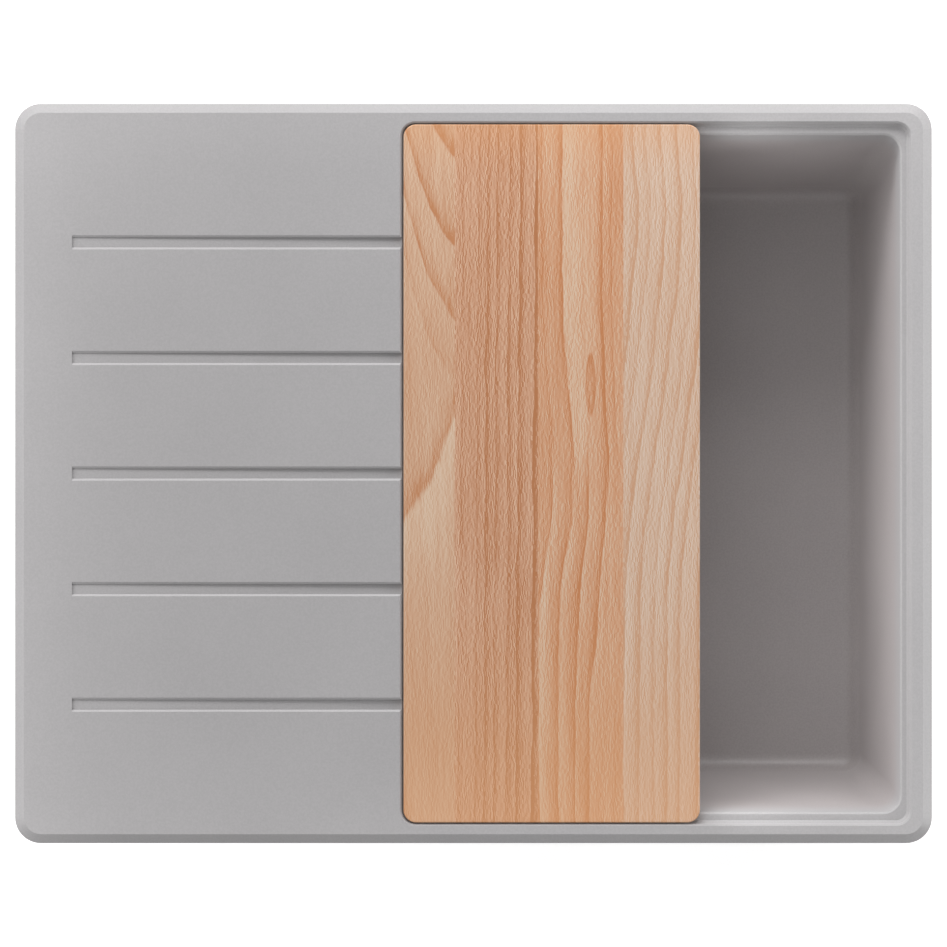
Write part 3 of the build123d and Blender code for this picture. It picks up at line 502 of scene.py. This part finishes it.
# Staves: their figures, their colours from dark to pale, how strong their flecks are and a seed.
# A figure has its scale across the year rings, how soft the edges of its years are in millimetres
# and how much they waver, and the stretch over which it comes in. Each of its years has the place
# of its edge on the scale, the width over which the wood darkens towards that edge and how dark,
# and the width over which the next year starts pale and how pale.
STAVES = {
    "board_stave_1": dict(
        figures=(
            dict(
                rings=crown_rings,
                softness=1.5,
                wobble=3.0,
                stretch=ALL_ALONG,
                years=(
                    (-301, 36, 0.9, 30, 0.15),
                    (-238, 32, 0.9, 30, 0.15),
                    (-191, 32, 0.6, 30, 0.10),
                    (-150, 40, 0.2, 30, 0.05),
                ),
            ),
            dict(
                rings=arch_rings,
                softness=5.0,
                wobble=8.0,
                stretch=ALL_ALONG,
                years=((30, 60, 0.6, 80, 0.5),),
            ),
            dict(
                rings=corner_rings,
                softness=1.0,
                wobble=4.0,
                stretch=ALL_ALONG,
                years=((245, 135, 0.9, 1, 0.0),),
            ),
        ),
        colours=((172, 116, 76), (188, 150, 122), (199, 175, 152)),
        fleck=0.38,
        seed=11.0,
    ),
    "board_stave_2": dict(
        figures=(
            dict(
                rings=straight_rings,
                softness=0.35,
                wobble=1.0,
                stretch=ALL_ALONG,
                years=(
                    (-38.2, 4, 0.3, 1, 0.1),
                    (-43.2, 4, 0.2, 1, 0.1),
                    (-49.4, 6, 0.4, 1, 0.1),
                    (-55.4, 6, 0.7, 1, 0.1),
                    (-61.6, 7, 0.6, 1, 0.1),
                    (-70.0, 7, 0.6, 1, 0.1),
                    (-77.0, 8, 0.9, 1, 0.2),
                    (-87.8, 8, 1.5, 1, 0.1),
                ),
            ),
        ),
        colours=((162, 105, 64), (186, 142, 113), (201, 169, 145)),
        fleck=0.55,
        seed=23.0,
    ),
    "board_stave_3": dict(
        figures=(
            dict(
                rings=bulging_rings,
                softness=0.4,
                wobble=1.0,
                stretch=BACK_HALF,
                years=(
                    (94.0, 5, 0.4, 6, 0.1),
                    (107.2, 7, 0.6, 30, 0.6),
                    (134.5, 6, 1.1, 2, 0.0),
                    (141.0, 6, 0.5, 3, 0.1),
                ),
            ),
            dict(
                rings=bulging_rings,
                softness=0.4,
                wobble=1.0,
                stretch=FRONT_HALF,
                years=(
                    (92.0, 5, 0.6, 8, 0.6),
                    (105.5, 7, 0.7, 8, 0.5),
                    (119.5, 8, 0.9, 6, 0.4),
                    (132.5, 8, 0.8, 5, 0.3),
                ),
            ),
            dict(
                rings=eye_rings,
                softness=4.0,
                wobble=1.0,
                stretch=ALL_ALONG,
                years=((20.0, 60, 0.8, 8, 0.4),),
            ),
        ),
        colours=((174, 113, 69), (189, 142, 109), (197, 173, 150)),
        fleck=0.45,
        seed=37.0,
    ),
    "board_stave_4": dict(
        figures=(
            dict(
                rings=leaning_rings,
                softness=0.5,
                wobble=1.0,
                stretch=ALL_ALONG,
                years=(
                    (155.0, 6, 1.1, 3, 0.1),
                    (163.5, 6, 0.5, 3, 0.1),
                    (174.3, 7, 0.9, 4, 0.2),
                    (185.3, 7, 0.9, 4, 0.1),
                    (195.0, 6, 0.5, 3, 0.1),
                    (204.0, 8, 0.9, 4, 0.2),
                    (212.5, 6, 0.8, 3, 0.1),
                    (225.0, 6, 0.8, 3, 0.1),
                ),
            ),
        ),
        colours=((181, 139, 108), (190, 162, 141), (199, 180, 164)),
        fleck=0.55,
        seed=53.0,
    ),
}


def dress(node_names, material):
    """Gives several nodes one material."""
    for name in node_names:
        nodes[name].material_slots[0].material = material


dress(["sink_body"], composite())
for stave_name, stave in STAVES.items():
    dress([stave_name], beech(stave_name, **stave))
for material_name, settings in FITTINGS.items():
    pieces = settings.pop("pieces")
    dress(pieces, fitting(material_name, **settings))


# Stage: white floor, white surroundings, soft light by direction
def light_path_share(tree):
    """1 for rays that show the surroundings, directly or in a reflection; 0 for rays that light."""
    path = tree.nodes.new("ShaderNodeLightPath")
    names = ("Is Camera Ray", "Is Glossy Ray", "Is Transmission Ray")
    return strongest(Field(tree, path.outputs[name]) for name in names)


def white_floor():
    """Matt white that also glows a little where it is seen, but not where it lights."""
    material = bpy.data.materials.new("white_floor")
    material.use_nodes = True
    tree = material.node_tree
    shader = tree.nodes["Principled BSDF"]
    shader.inputs["Base Color"].default_value = (FLOOR_COLOUR, FLOOR_COLOUR, FLOOR_COLOUR, 1.0)
    shader.inputs["Roughness"].default_value = 1.0
    shader.inputs["Specular IOR Level"].default_value = 0.0
    shader.inputs["Emission Color"].default_value = WHITE
    glow = light_path_share(tree) * FLOOR_GLOW
    tree.links.new(glow.socket, shader.inputs["Emission Strength"])
    return material


def studio():
    """Surroundings that are seen as white and light the sink by the lobes of the sky."""
    world = bpy.data.worlds.new("studio")
    world.use_nodes = True
    tree = world.node_tree
    background = tree.nodes["Background"]
    direction = tree.nodes.new("ShaderNodeTexCoord")
    split = tree.nodes.new("ShaderNodeSeparateXYZ")
    tree.links.new(direction.outputs["Generated"], split.inputs[0])
    seen_x, seen_y, seen_z = (Field(tree, socket) for socket in split.outputs)
    lobes = []
    for source, focus, strength in SKY.values():
        axis = Vector(source).normalized()
        facing = (seen_x * axis.x + seen_y * axis.y + seen_z * axis.z).apply("MAXIMUM", 0.0)
        lobes.append(facing.apply("POWER", focus) * strength)
    radiance, *other_lobes = lobes
    for lobe in other_lobes:
        radiance = radiance + lobe
    shown = light_path_share(tree)
    level = shown + shown.between(1.0, 0.0) * radiance
    tree.links.new(level.socket, background.inputs["Strength"])
    background.inputs["Color"].default_value = WHITE
    return world


def add_lamp(name, place, target, length, width, radiance, reflected):
    """A long level lamp, aimed square to its length and not seen itself."""
    data = bpy.data.lights.new(name, "AREA")
    data.shape = "RECTANGLE"
    data.size = length
    data.size_y = width
    data.energy = radiance * pi * length * width
    lamp = bpy.data.objects.new(name, data)
    bpy.context.scene.collection.objects.link(lamp)
    backward = (Vector(place) - Vector(target)).normalized()
    sideways = Vector((0, 0, 1)).cross(backward).normalized()
    turn = Matrix((sideways, backward.cross(sideways), backward)).transposed()
    lamp.location = place
    lamp.rotation_euler = turn.to_euler()
    lamp.visible_camera = False
    lamp.visible_glossy = reflected


bpy.ops.mesh.primitive_plane_add(size=FLOOR_SIZE, location=(0, 0, cad_low[2] - FLOOR_GAP))
floor = bpy.context.object
floor.name = "floor"
floor.data.materials.append(white_floor())

bpy.context.scene.world = studio()
for lamp_name, settings in LAMPS.items():
    add_lamp(lamp_name, *settings, reflected=False)
for lamp_name, settings in SOFT_BOXES.items():
    add_lamp(lamp_name, *settings, reflected=True)

# The lamp at the bowl hangs close above the board's way, so it lights the moulding alone
moulding = bpy.data.collections.new("moulding")
moulding.objects.link(nodes["sink_body"])
bpy.data.objects["lamp_bowl_left"].light_linking.receiver_collection = moulding

# Camera: high above the rim's centre, so that the view is almost without perspective
view_width = PHOTO_PIXELS / PIXELS_PER_METRE
rim_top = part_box("sink_body")[1].z
camera_data = bpy.data.cameras.new("camera")
camera_data.sensor_width = SENSOR
camera_data.lens = LENS
camera_data.clip_end = VIEW_REACH
camera = bpy.data.objects.new("camera", camera_data)
camera.location = (0, 0, rim_top + view_width * LENS / SENSOR)
bpy.context.scene.collection.objects.link(camera)
bpy.context.scene.camera = camera
bpy.context.scene.view_settings.view_transform = "Standard"
